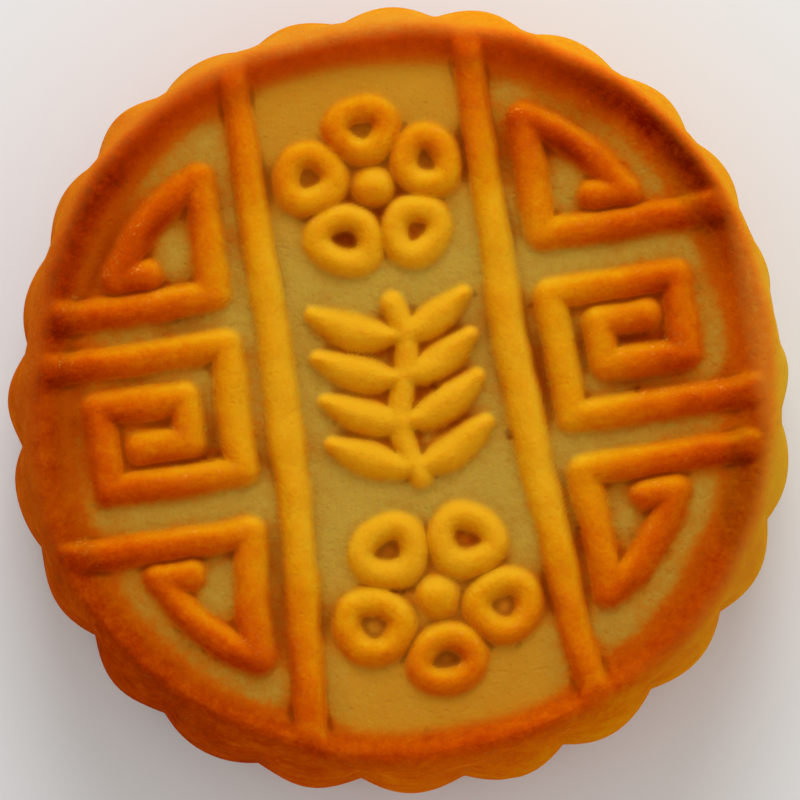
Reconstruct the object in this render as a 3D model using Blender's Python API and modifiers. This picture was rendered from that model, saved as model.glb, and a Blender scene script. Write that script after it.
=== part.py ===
"""A round moulded mooncake, in metres, +Z up, with its origin at the middle of its base.

The cake is one solid. Its body is turned: a flat base, a barrel side and a raised rim round a sunken top.
24 upright flutes run down the side. On the sunken top stands a relief of rounded ridges: two long bars,
a column of three frets on each outer side of them, and three plant ornaments in the band between them.
"""
import math

import bmesh
import bpy
import numpy as np

# Body
WAIST_RADIUS = 0.0392        # mean radius where the cake is widest
WAIST_HEIGHT = 0.0130
CREST_RADIUS = 0.03595       # ring along the top of the rim
CREST_HEIGHT = 0.0315        # the cake's highest points
FLOOR_RADIUS = 0.0316        # where the sunken top meets the slope of the rim
FLOOR_HEIGHT = 0.0290
SLOPE_POWER = 1.5            # above 1 the slope is steepest near the crest
SHOULDER_POWER = 1.85        # under 2 gives a soft shoulder, over 2 a square one
BASE_TAPER = 0.0012          # how much narrower the side is at the foot than at the waist
BASE_ROUNDING = 0.0018

# How far three rings are from round: waves per turn, size, and the angle in degrees where a wave peaks
CREST_WAVES = [(2, 0.00050, 19.0), (4, 0.00045, 38.8), (5, 0.00026, 51.7), (6, 0.00020, 15.5)]
FLOOR_WAVES = [(1, 0.00060, 240.0), (4, 0.00040, 37.0)]
SIDE_WAVES = [(2, 0.00023, 52.1), (3, 0.00014, 83.8), (4, 0.00036, 42.5), (5, 0.00011, 47.5),
              (7, 0.00020, 26.3)]

# Flutes of the side
FLUTE_COUNT = 24
STEPS_PER_FLUTE = 6
FLUTE_DEPTH = 0.0012
FLUTE_MEAN = 0.74            # the part of the depth that lies inside the side's own radius
FLUTE_FADE_TOP = 0.0304      # no flutes above this height
FLUTE_FADE_BOTTOM = 0.0258   # full flutes below this height
FLUTE_TURN = math.radians(-6.9)
FLUTE_TURN_DRIFT = math.radians(2.6)

# Relief, laid out about its own middle, which the press set a little off the cake's middle
RELIEF_MIDDLE = (0.00042, 0.00129)
RELIEF_SINK = 0.00012        # the ridges' middle line lies this far under the sunken top
RELIEF_STRETCH = (0.040, 0.025)  # towards -X and -Y it is this much longer, the other ways as much shorter
SPREAD_START = 0.0085        # from here towards -Y the bars part
SPREAD_RATE = 1.5            # per metre, times the square of the way from the start
SPREAD_FADE = 0.0190         # the spread dies out over this way outside the bars
RIM_REACH = 0.0341           # ridges that run into the rim end at this radius
BAR_OFFSET = 0.0116
BAR_RADIUS = 0.00166
FRET_RADIUS = 0.00156
ORNAMENT_RADIUS = 0.00140

# Corner frets
CORNER_INNER = 0.0162
CORNER_RUN = 0.0117
CORNER_APEX = 0.0236
CORNER_OUTER = 0.0253
CORNER_HOOK_HEIGHT = 0.0149
CORNER_HOOK_END = 0.0222
CORNER_BULGE = 0.0010        # how far the long stroke beside the rim bends outwards
CORNER_ARC_STEPS = 5
CORNER_SHIFT = 0.00045       # towards +Y in the right column, towards -Y in the left one
CORNER_CUT = 0.00095         # how far from a square corner its two cut points lie
STROKE_THINNING = {"riser": 1.0, "arc": 0.985, "hook": 0.93}

# Square spiral frets
SPIRAL_RUN = -0.0061
SPIRAL_INNER = 0.0160
SPIRAL_TOP = 0.0061
SPIRAL_OUTER = 0.0289
SPIRAL_RETURN = -0.0016
SPIRAL_CORE = 0.0205
SPIRAL_HOOK_HEIGHT = 0.0026
SPIRAL_HOOK_END = 0.0254

# Plant ornaments
ORNAMENT_PITCH = 0.0202
ORNAMENT_DROP = 0.0007       # the three ornaments stand this much nearer -Y than the relief's middle
PETAL_COUNT = 5
PETAL_START = 0.0037
PETAL_LENGTH = 0.0045
PETAL_HALF_WIDTH = 0.00245
PETAL_FULLNESS = 0.16        # moves a petal's widest place towards its tip
PETAL_STEPS = 10
BUTTON_RADIUS = 0.0019
STEM_HALF_LENGTH = 0.0086
STEM_SWAY = 0.0009
LEAF_PAIRS = 4
LEAF_FIRST = -0.0076
LEAF_PITCH = 0.0043
LEAF_ROOT = 0.0005           # leaves start this far beside the stem's middle, inside it
LEAF_REACH = 0.0070
LEAF_RISE = 0.0031
LEAF_STEPS = 5

CRUST_COLOUR = (0.62, 0.25, 0.035, 1.0)
CRUST_ROUGHNESS = 0.45


def smooth_step(value, low, high):
    """0 at low, 1 at high, with level ends; low may be the larger."""
    part = min(max((value - low) / (high - low), 0.0), 1.0)
    return part * part * (3.0 - 2.0 * part)


def new_collection(name):
    collection = bpy.data.collections.new(name)
    bpy.context.scene.collection.children.link(collection)
    return collection


def crust_material():
    material = bpy.data.materials.new("baked_crust")
    material.use_nodes = True
    shader = material.node_tree.nodes["Principled BSDF"]
    shader.inputs["Base Color"].default_value = CRUST_COLOUR
    shader.inputs["Roughness"].default_value = CRUST_ROUGHNESS
    shader.inputs["Metallic"].default_value = 0.0
    return material


def body_profile():
    """Radius and height from the sunken top over the rim and down the side to the base."""
    profile = []
    slope_steps = 4
    for i in range(slope_steps):
        part = i / slope_steps
        rise = (1.0 - math.cos(math.pi * part ** SLOPE_POWER)) / 2.0
        profile.append((FLOOR_RADIUS + part * (CREST_RADIUS - FLOOR_RADIUS),
                        FLOOR_HEIGHT + rise * (CREST_HEIGHT - FLOOR_HEIGHT)))
    shoulder_steps = 8
    for i in range(shoulder_steps + 1):
        angle = math.pi / 2.0 * i / shoulder_steps
        drop = math.cos(angle) ** (2.0 / SHOULDER_POWER)
        profile.append((CREST_RADIUS + (WAIST_RADIUS - CREST_RADIUS) * math.sin(angle),
                        WAIST_HEIGHT + (CREST_HEIGHT - WAIST_HEIGHT) * drop))
    foot_steps = 2
    for i in range(1, foot_steps + 1):
        height = WAIST_HEIGHT + (BASE_ROUNDING - WAIST_HEIGHT) * i / foot_steps
        profile.append((WAIST_RADIUS - BASE_TAPER * (1.0 - height / WAIST_HEIGHT) ** 2, height))
    foot_radius = profile[-1][0]
    rounding_steps = 3
    for i in range(1, rounding_steps + 1):
        angle = math.pi / 2.0 * i / rounding_steps
        profile.append((foot_radius - BASE_ROUNDING * (1.0 - math.cos(angle)),
                        BASE_ROUNDING * (1.0 - math.sin(angle))))
    return profile


def evaluated_copy(source):
    """A new mesh of the object as its modifiers or its curve settings leave it."""
    graph = bpy.context.evaluated_depsgraph_get()
    graph.update()
    return bpy.data.meshes.new_from_object(source.evaluated_get(graph))


def turned_body():
    """Turn the profile with a Screw modifier, then close the two open rings with flat faces."""
    profile = body_profile()
    line = bpy.data.meshes.new("body_profile")
    line.from_pydata([(radius, 0.0, height) for radius, height in profile],
                     [(i, i + 1) for i in range(len(profile) - 1)], [])
    guide = bpy.data.objects.new("body_profile", line)
    bpy.context.scene.collection.objects.link(guide)
    screw = guide.modifiers.new("turn", "SCREW")
    screw.axis = "Z"
    screw.angle = 2.0 * math.pi
    screw.steps = FLUTE_COUNT * STEPS_PER_FLUTE
    screw.render_steps = screw.steps
    screw.use_merge_vertices = True
    screw.merge_threshold = 0.00001
    mesh = evaluated_copy(guide)
    bpy.data.objects.remove(guide)
    shape = bmesh.new()
    shape.from_mesh(mesh)
    bmesh.ops.holes_fill(shape, edges=[edge for edge in shape.edges if edge.is_boundary])
    bmesh.ops.recalc_face_normals(shape, faces=shape.faces)
    shape.to_mesh(mesh)
    shape.free()
    return mesh


def ring_waves(angle, shape):
    return sum(size * np.cos(count * (angle - math.radians(peak))) for count, size, peak in shape)


def shape_body(mesh):
    """Move the points off their circles: the rim's rings by their waves, the side by its flutes and waves."""
    points = np.empty(len(mesh.vertices) * 3, dtype=np.float32)
    mesh.vertices.foreach_get("co", points)
    points = points.reshape(-1, 3).astype(float)
    radius = np.hypot(points[:, 0], points[:, 1])
    step = np.arctan2(points[:, 1], points[:, 0])
    angle = step + FLUTE_TURN + FLUTE_TURN_DRIFT * np.cos(step)
    risen = np.clip((radius - FLOOR_RADIUS) / (CREST_RADIUS - FLOOR_RADIUS), 0.0, 1.0)
    past = np.clip((radius - CREST_RADIUS) / (WAIST_RADIUS - CREST_RADIUS), 0.0, 1.0)
    rim = (1.0 - risen) * ring_waves(angle, FLOOR_WAVES)
    rim += risen * (1.0 - past) * ring_waves(angle, CREST_WAVES)
    rim[points[:, 2] <= WAIST_HEIGHT] = 0.0
    fade = np.array([smooth_step(height, FLUTE_FADE_TOP, FLUTE_FADE_BOTTOM) for height in points[:, 2]])
    fade[(radius < CREST_RADIUS) & (points[:, 2] > WAIST_HEIGHT)] = 0.0
    lobe = np.abs(np.cos(step * FLUTE_COUNT / 2.0)) - FLUTE_MEAN
    radius += rim + fade * (FLUTE_DEPTH * lobe + ring_waves(angle, SIDE_WAVES))
    points[:, 0] = radius * np.cos(angle)
    points[:, 1] = radius * np.sin(angle)
    mesh.vertices.foreach_set("co", points.astype(np.float32).ravel())
    mesh.update()


def pressed(x, y):
    """A place of the relief's layout, as it lies on the cake."""
    inside = min(abs(x) / BAR_OFFSET, 1.0)
    outside = max(1.0 - max(abs(x) - BAR_OFFSET, 0.0) / SPREAD_FADE, 0.0)
    spread = SPREAD_RATE * max(SPREAD_START - y, 0.0) ** 2 * inside * outside
    return (RELIEF_MIDDLE[0] + x - RELIEF_STRETCH[0] * abs(x) + math.copysign(spread, x),
            RELIEF_MIDDLE[1] + y - RELIEF_STRETCH[1] * abs(y))


def along_rim(height):
    """How far out a level line of the layout runs before it reaches the rim."""
    return math.sqrt(RIM_REACH ** 2 - height ** 2)


def bar_line(side):
    steps = 6
    end = along_rim(BAR_OFFSET)
    return [(side * BAR_OFFSET, end * (2.0 * i / steps - 1.0), 1.0) for i in range(steps + 1)]


def with_cut_corners(line):
    """Cut each inner point of the line, a square corner, into two points."""
    cut = [line[0]]
    for before, corner, after in zip(line, line[1:], line[2:]):
        for other in (before, after):
            part = CORNER_CUT / math.dist(corner, other)
            cut.append((corner[0] + part * (other[0] - corner[0]), corner[1] + part * (other[1] - corner[1])))
    return cut + [line[-1]]


def corner_fret():
    """Three strokes: from the rim in and up beside the bar, back along the rim, and a hook inwards."""
    run_x = CORNER_OUTER - CORNER_INNER
    run_y = CORNER_HOOK_HEIGHT - CORNER_APEX
    length = math.hypot(run_x, run_y)
    arc = []
    for i in range(CORNER_ARC_STEPS + 1):
        part = i / CORNER_ARC_STEPS
        bulge = CORNER_BULGE * 4.0 * part * (1.0 - part)
        arc.append((CORNER_INNER + part * run_x - bulge * run_y / length,
                    CORNER_APEX + part * run_y + bulge * run_x / length))
    riser = with_cut_corners([(along_rim(CORNER_RUN), CORNER_RUN), (CORNER_INNER, CORNER_RUN), arc[0]])
    hook = [arc[-1], (CORNER_HOOK_END, CORNER_HOOK_HEIGHT)]
    return {"riser": riser, "arc": arc, "hook": hook}


def spiral_fret():
    """A square spiral that starts at the rim and winds inwards."""
    return with_cut_corners([(along_rim(SPIRAL_RUN), SPIRAL_RUN),
                             (SPIRAL_INNER, SPIRAL_RUN),
                             (SPIRAL_INNER, SPIRAL_TOP),
                             (SPIRAL_OUTER, SPIRAL_TOP),
                             (SPIRAL_OUTER, SPIRAL_RETURN),
                             (SPIRAL_CORE, SPIRAL_RETURN),
                             (SPIRAL_CORE, SPIRAL_HOOK_HEIGHT),
                             (SPIRAL_HOOK_END, SPIRAL_HOOK_HEIGHT)])


def petal_line(turn, middle):
    """One petal's outline: a closed loop, widest towards its tip."""
    line = []
    for i in range(PETAL_STEPS):
        angle = 2.0 * math.pi * (i + 0.5) / PETAL_STEPS
        along = PETAL_START + PETAL_LENGTH * (1.0 - math.cos(angle)) / 2.0
        across = PETAL_HALF_WIDTH * math.sin(angle) * (1.0 - PETAL_FULLNESS * math.cos(angle))
        line.append((along * math.cos(turn) - across * math.sin(turn),
                     middle + along * math.sin(turn) + across * math.cos(turn), 1.0))
    return line


def stem_line():
    steps = 8
    line = []
    for i in range(steps + 1):
        part = 2.0 * i / steps - 1.0
        line.append((STEM_SWAY * math.sin(math.pi * part), STEM_HALF_LENGTH * part - ORNAMENT_DROP, 0.85))
    return line


def leaf_line(side, start):
    """A leaf's middle line, which leaves the stem and rises; its thickness swells and then tapers."""
    line = []
    for i in range(LEAF_STEPS + 1):
        part = i / LEAF_STEPS
        thickness = 0.60 + 0.62 * math.sin(math.pi * part)
        line.append((side * (LEAF_ROOT + LEAF_REACH * part),
                     start - ORNAMENT_DROP + LEAF_RISE * part ** 1.6,
                     thickness))
    return line


def with_round_noses(line):
    """Add points past both free ends, with shrinking thickness, so that each end is a round nose."""
    def nose(end, before):
        run = math.hypot(end[0] - before[0], end[1] - before[1])
        way = ((end[0] - before[0]) / run, (end[1] - before[1]) / run)
        points = []
        for angle in (math.radians(40.0), math.radians(72.0)):
            reach = end[2] * math.sin(angle)
            points.append((way, reach, end[2] * math.cos(angle)))
        return points
    first = nose(line[0], line[1])
    last = nose(line[-1], line[-2])
    return first[::-1], last


def ridge(name, collection, line, thickness, closed=False):
    """A rounded ridge along a line of (x, y, part of the thickness), as a closed mesh on the sunken top."""
    points = [(*pressed(x, y), part) for x, y, part in line]
    if not closed:
        first, last = with_round_noses(points)
        start, end = points[0], points[-1]
        points = ([(start[0] + way[0] * reach * thickness, start[1] + way[1] * reach * thickness, part)
                   for way, reach, part in first]
                  + points
                  + [(end[0] + way[0] * reach * thickness, end[1] + way[1] * reach * thickness, part)
                     for way, reach, part in last])
    curve = bpy.data.curves.new(name, "CURVE")
    curve.dimensions = "2D"
    curve.fill_mode = "NONE"
    curve.bevel_depth = thickness
    curve.bevel_resolution = 2
    curve.use_fill_caps = not closed
    spline = curve.splines.new("POLY")
    spline.points.add(len(points) - 1)
    for point, (x, y, part) in zip(spline.points, points):
        point.co = (x, y, 0.0, 1.0)
        point.radius = part
    spline.use_cyclic_u = closed
    guide = bpy.data.objects.new(name, curve)
    guide.location.z = FLOOR_HEIGHT - RELIEF_SINK
    collection.objects.link(guide)
    mesh = evaluated_copy(guide)
    place = guide.matrix_world.copy()
    bpy.data.objects.remove(guide)
    shape = bmesh.new()
    shape.from_mesh(mesh)
    bmesh.ops.remove_doubles(shape, verts=shape.verts, dist=0.000001)
    bmesh.ops.recalc_face_normals(shape, faces=shape.faces)
    shape.to_mesh(mesh)
    shape.free()
    add_guide(name, collection, mesh, place)


def add_guide(name, collection, mesh, place):
    """Link a mesh as a shape that is joined to the cake and isn't a piece of its own."""
    guide = bpy.data.objects.new(name, mesh)
    guide.matrix_world = place
    guide.hide_render = True
    guide.display_type = "WIRE"
    collection.objects.link(guide)


def add_bars_and_frets(collection):
    """The left column is the right one turned by half a turn."""
    for side, name in ((-1, "left"), (1, "right")):
        ridge(f"bar_{name}", collection, bar_line(side), BAR_RADIUS)
        spiral = [(side * x, side * y, 1.0) for x, y in spiral_fret()]
        ridge(f"spiral_fret_{name}", collection, spiral, FRET_RADIUS)
        for end, place in ((1, "rear"), (-1, "front")):
            for stroke, line in corner_fret().items():
                thickness = FRET_RADIUS * STROKE_THINNING[stroke]
                placed = [(side * x, end * y + side * CORNER_SHIFT, 1.0) for x, y in line]
                ridge(f"corner_fret_{name}_{place}_{stroke}", collection, placed, thickness)


def add_blossom(collection, name, middle, first_turn):
    """Petal loops round a domed button."""
    for i in range(PETAL_COUNT):
        turn = first_turn + 2.0 * math.pi * i / PETAL_COUNT
        ridge(f"{name}_petal_{i}", collection, petal_line(turn, middle), ORNAMENT_RADIUS, closed=True)
    shape = bmesh.new()
    bmesh.ops.create_uvsphere(shape, u_segments=12, v_segments=8, radius=BUTTON_RADIUS)
    x, y = pressed(0.0, middle)
    bmesh.ops.translate(shape, verts=shape.verts, vec=(x, y, FLOOR_HEIGHT - RELIEF_SINK))
    mesh = bpy.data.meshes.new(f"{name}_button")
    shape.to_mesh(mesh)
    shape.free()
    guide = bpy.data.objects.new(f"{name}_button", mesh)
    guide.hide_render = True
    guide.display_type = "WIRE"
    collection.objects.link(guide)


def add_sprig(collection):
    """A swaying stem with pairs of leaves."""
    ridge("sprig_stem", collection, stem_line(), ORNAMENT_RADIUS)
    for i in range(LEAF_PAIRS):
        start = LEAF_FIRST + LEAF_PITCH * i
        for side, name in ((-1, "left"), (1, "right")):
            ridge(f"sprig_leaf_{i}_{name}", collection, leaf_line(side, start), ORNAMENT_RADIUS)


def build():
    for thing in list(bpy.data.objects):
        bpy.data.objects.remove(thing)
    cake_parts = new_collection("mooncake_parts")
    relief_shapes = new_collection("relief_shapes")
    mesh = turned_body()
    shape_body(mesh)
    cake = bpy.data.objects.new("mooncake", mesh)
    cake_parts.objects.link(cake)
    mesh.materials.append(crust_material())
    add_bars_and_frets(relief_shapes)
    add_blossom(relief_shapes, "upper_blossom", ORNAMENT_PITCH - ORNAMENT_DROP, math.pi / 2.0)
    add_sprig(relief_shapes)
    add_blossom(relief_shapes, "lower_blossom", -ORNAMENT_PITCH - ORNAMENT_DROP, -math.pi / 2.0)
    join = cake.modifiers.new("join_relief", "BOOLEAN")
    join.operation = "UNION"
    join.solver = "EXACT"
    join.operand_type = "COLLECTION"
    join.collection = relief_shapes
    mesh.shade_smooth()
    mesh.set_sharp_from_angle(angle=math.radians(40.0))


build()
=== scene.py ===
import math

import bpy
import numpy as np
from mathutils import Matrix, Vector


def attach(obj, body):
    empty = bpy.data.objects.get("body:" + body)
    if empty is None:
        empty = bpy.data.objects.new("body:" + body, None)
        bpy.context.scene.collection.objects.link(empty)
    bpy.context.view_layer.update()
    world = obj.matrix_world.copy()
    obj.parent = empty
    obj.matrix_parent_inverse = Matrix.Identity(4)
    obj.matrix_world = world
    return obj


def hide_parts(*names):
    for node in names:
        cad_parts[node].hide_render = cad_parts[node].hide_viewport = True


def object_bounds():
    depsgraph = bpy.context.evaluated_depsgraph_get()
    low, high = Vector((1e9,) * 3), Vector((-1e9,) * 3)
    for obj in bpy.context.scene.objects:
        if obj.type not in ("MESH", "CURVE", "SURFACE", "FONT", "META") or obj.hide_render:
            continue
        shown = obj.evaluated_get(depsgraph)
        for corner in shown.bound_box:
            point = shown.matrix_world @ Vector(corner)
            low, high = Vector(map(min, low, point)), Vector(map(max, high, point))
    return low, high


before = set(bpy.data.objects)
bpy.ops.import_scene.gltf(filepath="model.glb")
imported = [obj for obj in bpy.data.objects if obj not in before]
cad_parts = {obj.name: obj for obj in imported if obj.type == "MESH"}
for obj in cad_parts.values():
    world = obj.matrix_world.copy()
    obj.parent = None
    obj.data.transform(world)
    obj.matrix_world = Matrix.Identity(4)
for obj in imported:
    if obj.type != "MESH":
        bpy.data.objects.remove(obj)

cadLow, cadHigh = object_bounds()
mm = 0.001                              # every length below is in millimetres and becomes metres in the mesh
print("frame loaded:", [round(side / mm, 1) for side in cadHigh - cadLow], "mm")


def smoothStep(value, low, high):
    # 0 at low, 1 at high, level at both ends: 3t^2 - 2t^3 with t the share of the way
    part = np.clip((value - low) / (high - low), 0.0, 1.0)
    return part * part * (3.0 - 2.0 * part)


def waves(x, y, size, seed, count=28):
    # the sum of plane waves with random headings, starts and lengths near size, scaled to a spread of about 1
    chance = np.random.default_rng(seed)
    total = np.zeros_like(x)
    for heading, length, start in zip(chance.uniform(0.0, 2.0 * np.pi, count),
                                      size * chance.uniform(0.7, 1.6, count),
                                      chance.uniform(0.0, 2.0 * np.pi, count)):
        total += np.cos((x * np.cos(heading) + y * np.sin(heading)) * 2.0 * np.pi / length + start)
    return total * math.sqrt(2.0 / count)


def softMax(first, second, blend):
    # the larger of two heights, with a round fillet of the given height where they cross
    near = np.clip(blend - np.abs(first - second), 0.0, None)
    return np.maximum(first, second) + near * near / (4.0 * blend)


body = {
    "crestHeight": cadHigh.z / mm,      # the rim's ring, the highest place
    "crestRadius": 35.95,
    "rimDepth": 2.5,                    # from the crest down to the sunken top
    "slopeStart": 31.6,                 # where the sunken top turns up into the rim
    "slopePower": 1.5,                  # above 1 the slope is steepest near the crest
    "waistRadius": 39.2,
    "waistHeight": 13.0,
    "shoulderPower": 1.85,
    "footTaper": 1.2,
    "footRounding": 1.8,
    # how far the rim is from round: waves per turn, size, and where the first wave peaks in degrees
    "crestWaves": [(1, 0.22, 55.0), (2, 0.50, 19.0), (4, 0.45, 38.8), (5, 0.26, 51.7), (6, 0.20, 15.5)],
    "slopeWaves": [(1, 0.60, 240.0), (4, 0.40, 37.0)],
}
body["floorHeight"] = body["crestHeight"] - body["rimDepth"]


def roundWaves(angle, shape):
    # size * cos(count * (angle - turn)), summed over the given waves
    return sum(size * np.cos(count * (angle - math.radians(turn))) for count, size, turn in shape)


def crestAt(angle):
    return body["crestRadius"] + roundWaves(angle, body["crestWaves"])


def slopeAt(angle):
    return body["slopeStart"] + roundWaves(angle, body["slopeWaves"])


def shoulderHeight(radius, angle):
    # a superellipse from the crest ring out to the waist: u^2 + v^1.85 = 1
    out = np.clip((radius - crestAt(angle)) / (body["waistRadius"] - crestAt(angle)), 0.0, 1.0)
    drop = (1.0 - out ** 2) ** (1.0 / body["shoulderPower"])
    return body["waistHeight"] + (body["crestHeight"] - body["waistHeight"]) * drop


# the relief starts as straight plans, bent the way the press left them
press = {
    "middle": (0.42, 1.29),             # the pattern stands this far off the cake's middle
    "stretch": (0.04, 0.025),           # longer towards -X and -Y, shorter the other ways
    "spreadStart": 8.5,                 # from here towards -Y the two bars part
    "spreadRate": 0.0015,
    "spreadFade": 19.0,
    "rimReach": 35.6,                   # ridges that climb the rim end at this radius
}


def pressed(line):
    # x and y of the plan, moved and stretched; the spread grows with the square of the way past its start
    x, y, barOffset = line[:, 0], line[:, 1], bars["offset"]
    inside = np.minimum(np.abs(x) / barOffset, 1.0)
    outside = np.clip(1.0 - np.clip(np.abs(x) - barOffset, 0.0, None) / press["spreadFade"], 0.0, 1.0)
    spread = press["spreadRate"] * np.clip(press["spreadStart"] - y, 0.0, None) ** 2 * inside * outside
    moved = line.copy()
    moved[:, 0] = press["middle"][0] + x - press["stretch"][0] * np.abs(x) + np.copysign(spread, x)
    moved[:, 1] = press["middle"][1] + y - press["stretch"][1] * np.abs(y)
    return moved


def alongRim(height):
    # how far out a level line runs before it meets the rim: the side of a right triangle
    return math.sqrt(press["rimReach"] ** 2 - height ** 2)


def subdivided(line, step=1.5):
    # the same line with points at most one step apart; the third column is the part of the full width
    line = np.array([tuple(point) + (1.0,) * (3 - len(point)) for point in line])
    length = np.concatenate([[0.0], np.cumsum(np.hypot(*np.diff(line[:, :2], axis=0).T))])
    places = np.union1d(np.arange(0.0, length[-1], step), length)
    return np.stack([np.interp(places, length, column) for column in line.T], axis=1)


# a square field of heights over the top, which every stroke is pressed into
field = {"half": 40.0, "step": 0.1}
axis = np.arange(-field["half"], field["half"] + field["step"] / 2.0, field["step"])
fieldX, fieldY = np.meshgrid(axis, axis, indexing="ij")
fieldRadius = np.hypot(fieldX, fieldY)
fieldAngle = np.arctan2(fieldY, fieldX)

wander = {                              # hand-pressed dough: lines wander, widths and heights vary
    "slow": 0.09, "slowSize": 16.0,
    "quick": 0.03, "quickSize": 3.5,
    "width": 0.02, "widthSize": 7.0,
    "height": 0.05, "heightSize": 6.0,
}
warpedX = (fieldX + wander["slow"] * waves(fieldX, fieldY, wander["slowSize"], 11)
           + wander["quick"] * waves(fieldX, fieldY, wander["quickSize"], 12))
warpedY = (fieldY + wander["slow"] * waves(fieldX, fieldY, wander["slowSize"], 13)
           + wander["quick"] * waves(fieldX, fieldY, wander["quickSize"], 14))
widthPlay = 1.0 + wander["width"] * waves(fieldX, fieldY, wander["widthSize"], 15)
heightPlay = 1.0 + wander["height"] * waves(fieldX, fieldY, wander["heightSize"], 16)


def blurred(values, spread):
    # every place takes its neighbours' mean, weighted by a bell curve, through the field's Fourier transform
    pitch = np.fft.fftfreq(values.shape[0], field["step"])
    bell = np.exp(-2.0 * (np.pi * pitch * spread) ** 2)
    return np.fft.ifft2(np.fft.fft2(values) * bell[:, None] * bell[None, :]).real


def strokeNearness(line, halfWidth):
    # distance to the nearest stretch of the line, as a share of the stroke's half width there
    nearness = np.full(fieldX.shape, 4.0)
    reach = 2.5 * halfWidth + 1.0
    for start, end in zip(line, line[1:]):
        low = np.minimum(start, end)[:2] - reach
        high = np.maximum(start, end)[:2] + reach
        rows, columns = [slice(*np.searchsorted(axis, (low[k], high[k]))) for k in (0, 1)]
        x, y = warpedX[rows, columns] - start[0], warpedY[rows, columns] - start[1]
        run = end - start
        part = np.clip((x * run[0] + y * run[1]) / (run[0] ** 2 + run[1] ** 2), 0.0, 1.0)
        away = np.hypot(x - part * run[0], y - part * run[1])
        share = away / (halfWidth * (start[2] + part * run[2]) * widthPlay[rows, columns])
        nearness[rows, columns] = np.minimum(nearness[rows, columns], share)
    return nearness


relief = np.zeros_like(fieldX)          # height over the sunken top
cover = np.zeros_like(fieldX)           # 1 on a stroke, 0 beside it
fretPart = np.zeros_like(fieldX)        # 1 on the frets, which bake darker than the bars and plants


def pressStroke(line, look, isFret=0.0):
    # a rounded ridge: height * (1 - share^roundness), with a fillet to what is there already
    global relief, cover, fretPart
    nearness = strokeNearness(pressed(subdivided(line)), look["halfWidth"])
    crown = look["height"] * heightPlay * (1.0 - nearness ** look["roundness"])
    relief = softMax(relief, np.maximum(crown, -1.0), look["fillet"])
    over = 1.0 - smoothStep(nearness, 0.72, 1.20)
    cover = np.maximum(cover, over)
    fretPart = np.maximum(fretPart, over * isFret)


bars = {
    "offset": 11.6,                     # from the plan's middle line
    "bow": 0.28, "inset": 0.12,         # the +X bar bows inwards, the -X bar's ends stand further in
    "farPart": 0.84, "nearPart": 0.95,  # narrower towards +Y and -Y
    "halfWidth": 1.74, "height": 1.6, "roundness": 2.6, "fillet": 0.5,
}
for side in (-1, 1):
    reach = alongRim(bars["offset"])
    ends = bars["offset"] - (bars["inset"] if side < 0 else 0.0)
    middle = ends - (bars["bow"] if side > 0 else 0.0)
    pressStroke([(side * ends, -reach, bars["nearPart"]), (side * middle, 0.0, 1.0),
                 (side * ends, reach, bars["farPart"])], bars)

squareFret = {
    "run": -6.1, "inner": 16.0, "top": 6.1, "outer": 28.9,
    "back": -1.6, "core": 20.5, "hook": 2.6, "tip": 25.4,
    "halfWidth": 1.66, "height": 1.5, "roundness": 2.4, "fillet": 0.5,
}


def squareFretLine(look):
    # from the rim in, up beside the bar, out, and round inwards as a square spiral
    return np.array([(alongRim(look["run"]), look["run"]), (look["inner"], look["run"]),
                     (look["inner"], look["top"]), (look["outer"], look["top"]),
                     (look["outer"], look["back"]), (look["core"], look["back"]),
                     (look["core"], look["hook"]), (look["tip"], look["hook"])])


cornerFret = {
    "inner": 16.2, "run": 11.7, "apex": 23.6, "outer": 25.3, "hook": 14.9, "tip": 22.2,
    "bulge": 1.0, "shift": 0.45,
    "halfWidth": 1.66, "height": 1.5, "roundness": 2.4, "fillet": 0.5,
}


def cornerFretLine(look):
    # from the rim in, up beside the bar, back along the rim on a shallow arc, and a short hook inwards
    part = np.linspace(0.0, 1.0, 9)
    run = np.array([look["outer"] - look["inner"], look["hook"] - look["apex"]])
    across = np.array([-run[1], run[0]]) / np.hypot(*run)
    arc = (np.array([look["inner"], look["apex"]]) + part[:, None] * run
           + look["bulge"] * (4.0 * part * (1.0 - part))[:, None] * across)
    start = [(alongRim(look["run"]), look["run"]), (look["inner"], look["run"])]
    return np.concatenate([start, arc, [(look["tip"], look["hook"])]])


for side in (-1, 1):                    # the left column is the right one turned by half a turn
    pressStroke(side * squareFretLine(squareFret), squareFret, 1.0)
    for end in (-1, 1):
        placed = cornerFretLine(cornerFret) * (side, end) + (0.0, side * cornerFret["shift"])
        pressStroke(placed, cornerFret, 1.0)

blossom = {
    "pitch": 20.2, "drop": 0.7,         # along Y, the second one towards -Y
    "petals": 5, "start": 3.7, "length": 4.5, "petalHalfWidth": 2.45, "fullness": 0.16,
    "buttonHalfWidth": 2.1, "buttonHeight": 1.6, "buttonRoundness": 2.0,
    "halfWidth": 1.45, "height": 1.40, "roundness": 2.3, "fillet": 0.60,
}


def petalLine(look, turn, middle):
    # a closed loop, along = start + length (1 - cos a) / 2, across = halfWidth sin a (1 - fullness cos a)
    angle = np.linspace(0.0, 2.0 * np.pi, 25)
    along = look["start"] + look["length"] * (1.0 - np.cos(angle)) / 2.0
    across = look["petalHalfWidth"] * np.sin(angle) * (1.0 - look["fullness"] * np.cos(angle))
    return np.stack([along * math.cos(turn) - across * math.sin(turn),
                     middle + along * math.sin(turn) + across * math.cos(turn)], axis=1)


for end in (-1, 1):
    middle = end * blossom["pitch"] - blossom["drop"]
    for petal in range(blossom["petals"]):
        turn = end * math.pi / 2.0 + 2.0 * math.pi * petal / blossom["petals"]
        pressStroke(petalLine(blossom, turn, middle), blossom)
    button = dict(blossom, halfWidth=blossom["buttonHalfWidth"], height=blossom["buttonHeight"],
                  roundness=blossom["buttonRoundness"])
    pressStroke([(-0.05, middle), (0.05, middle)], button)

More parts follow.
